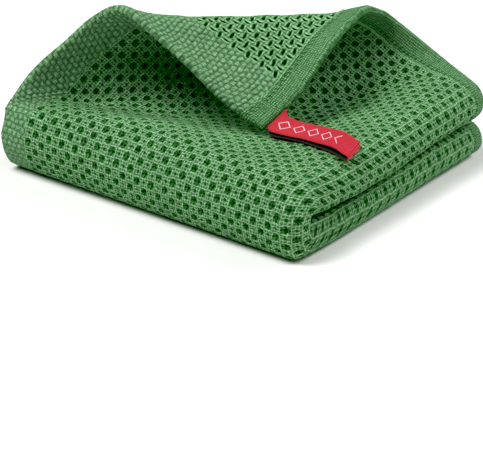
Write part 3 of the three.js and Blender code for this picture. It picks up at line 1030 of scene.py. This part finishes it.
def ribbonMaterial():
    # woven polyester ribbon: ribs across it, painted darker in their troughs and lighter on their tops, a
    # soft sheen and a row of plain woven diamonds
    material, tree, shader = fabricMaterial("wovenPolyesterRibbon", 0.6, 0.1, 0.25, label["glow"])
    uv, alongLabel, acrossLabel = labelCoordinates(tree)
    ribs = calc(tree, "MULTIPLY", stripes(tree, alongLabel, label["ribEvery"]), 1 - label["crossRibShare"])
    crossRibs = stripes(tree, acrossLabel, label["crossRibEvery"])
    ribs = calc(tree, "MULTIPLY_ADD", crossRibs, label["crossRibShare"], ribs)
    # painted shade in the troughs of the ribs, painted highlight on their tops
    stops = [(0.0, label["redShade"]), (0.45, label["red"]), (1.0, label["redHighlight"])]
    colour = colourRamp(tree, ribs, stops)
    inCell = calc(tree, "PINGPONG", alongLabel, label["markEvery"] / 2)
    fromMiddle = calc(tree, "ABSOLUTE", acrossLabel)
    diamond = calc(tree, "ADD", inCell, fromMiddle)
    ring = calc(tree, "ABSOLUTE", calc(tree, "SUBTRACT", diamond, label["markSize"]))
    isMark = ramp(tree, ring, label["markLine"], label["markLine"] / 3)
    isMark = calc(tree, "MULTIPLY", isMark, calc(tree, "GREATER_THAN", alongLabel, label["markFrom"]))
    isMark = calc(tree, "MULTIPLY", isMark, calc(tree, "LESS_THAN", alongLabel, label["markTo"]))
    colour = blend(tree, isMark, colour, linearColour(label["mark"]), "RGBA")
    colour = shadeBy(tree, colour, addNoise(tree, uv, grain["ribbon"], 2.0)[0], label["uneven"])
    height = calc(tree, "MULTIPLY_ADD", isMark, 0.5, ribs)
    finishFabric(tree, shader, colour, height, 0.3)
    return material


def ribbonBackMaterial():
    # the ribbon's inner side: dark navy, painted darker between its ribs as shade
    material, tree, shader = fabricMaterial("wovenRibbonInside", 0.7, 0.15, 0.3)
    ribs = stripes(tree, labelCoordinates(tree)[1], label["ribEvery"])
    colour = colourRamp(tree, ribs, [(0.0, label["insideShade"]), (1.0, label["inside"])])
    finishFabric(tree, shader, colour, ribs, 0.12)
    return material


ribbon = makeLabel()
print("label made")

# What rides on what
for piece, slotName in ((cloth, "cotton"), (stitches, "cotton"), (ribbon, "ribbon")):
    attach(piece, "root")
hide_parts("dishcloth")
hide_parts("label")

# Floor, light and camera
studio = {
    "floor": "#f4f4f2",
    "floorReach": 3.0,
    "floorDrop": 0.0002,     # just under the cloth
    "world": 0.02,
    "shadowTint": (0.013, 0.004, 0.013),
    "key": {"place": (-0.35, -0.6, 1.6), "size": 0.8, "power": 16.0},
    "side": {"place": (-0.7, -0.9, 1.5), "size": 1.0, "power": 22.0},
    "back": {"place": (0.9, 1.1, 1.3), "size": 1.0, "power": 26.0},
    "fill": {"place": (1.3, -0.2, 1.1), "size": 1.0, "power": 3.0},
}


def makeFloor():
    mesh = bpy.data.meshes.new("floor")
    reach = studio["floorReach"]
    corners = [(-reach, -reach, 0), (reach, -reach, 0), (reach, reach, 0), (-reach, reach, 0)]
    mesh.from_pydata(corners, [], [(0, 1, 2, 3)])
    material, _, shader = fabricMaterial("paleFloor", 0.9, 0.0)
    shader.inputs["Base Color"].default_value = linearColour(studio["floor"])
    mesh.materials.append(material)
    floor = bpy.data.objects.new("floor", mesh)
    floor.location.z = -studio["floorDrop"]
    bpy.context.scene.collection.objects.link(floor)
    return floor


def makeLight(name, settings):
    lamp = bpy.data.lights.new(name, "AREA")
    lamp.shape = "DISK"
    lamp.size = settings["size"]
    lamp.energy = settings["power"]
    light = bpy.data.objects.new(name, lamp)
    light.location = settings["place"]
    light.rotation_euler = (-Vector(settings["place"])).to_track_quat("-Z", "Y").to_euler()
    bpy.context.scene.collection.objects.link(light)


floor = makeFloor()
for lightName in ("key", "side", "back", "fill"):
    makeLight(lightName + "Light", studio[lightName])
world = bpy.data.worlds.new("studio")
bpy.context.scene.world = world
world.use_nodes = True
world.node_tree.nodes["Background"].inputs[0].default_value = (1, 1, 1, 1)
world.node_tree.nodes["Background"].inputs[1].default_value = studio["world"]
grade = bpy.context.scene.view_settings
grade.view_transform = "Standard"
grade.use_curve_mapping = True  # a light grade: shadows go green, not grey
grade.curve_mapping.black_level = studio["shadowTint"]
grade.curve_mapping.update()

view = {
    "turn": 35.83,           # degrees from the front towards +X
    "height": 25.48,
    "roll": 1.46,
    "distance": 750,
    "aim": (-32.6, 7.9, 0),  # mm, from the folded corner
    "focal": 1898,           # pixels, for a picture 483 wide
    "pictureWidth": 483,
    "sensorWidth": 36,       # mm
}


def makeCamera():
    turn, height, roll = (math.radians(view[name]) for name in ("turn", "height", "roll"))
    back = np.array([
        math.sin(turn) * math.cos(height), -math.cos(turn) * math.cos(height), math.sin(height),
    ])
    right = np.array([math.cos(turn), math.sin(turn), 0.0])
    up = np.cross(back, right)
    right, up = (
        math.cos(roll) * right + math.sin(roll) * up,
        -math.sin(roll) * right + math.cos(roll) * up,
    )
    aim = toMetres(view["aim"])
    place = aim + back * view["distance"] * mm
    lens = bpy.data.cameras.new("camera")
    lens.sensor_width = view["sensorWidth"]
    lens.lens = view["sensorWidth"] * view["focal"] / view["pictureWidth"]
    lens.clip_start = 0.01
    camera = bpy.data.objects.new("camera", lens)
    matrix = Matrix.Identity(4)
    for axis, vector in enumerate((right, up, back, place)):
        for row in range(3):
            matrix[row][axis] = vector[row]
    camera.matrix_world = matrix
    bpy.context.scene.collection.objects.link(camera)
    bpy.context.scene.camera = camera


makeCamera()
print("stage, lights and camera ready")
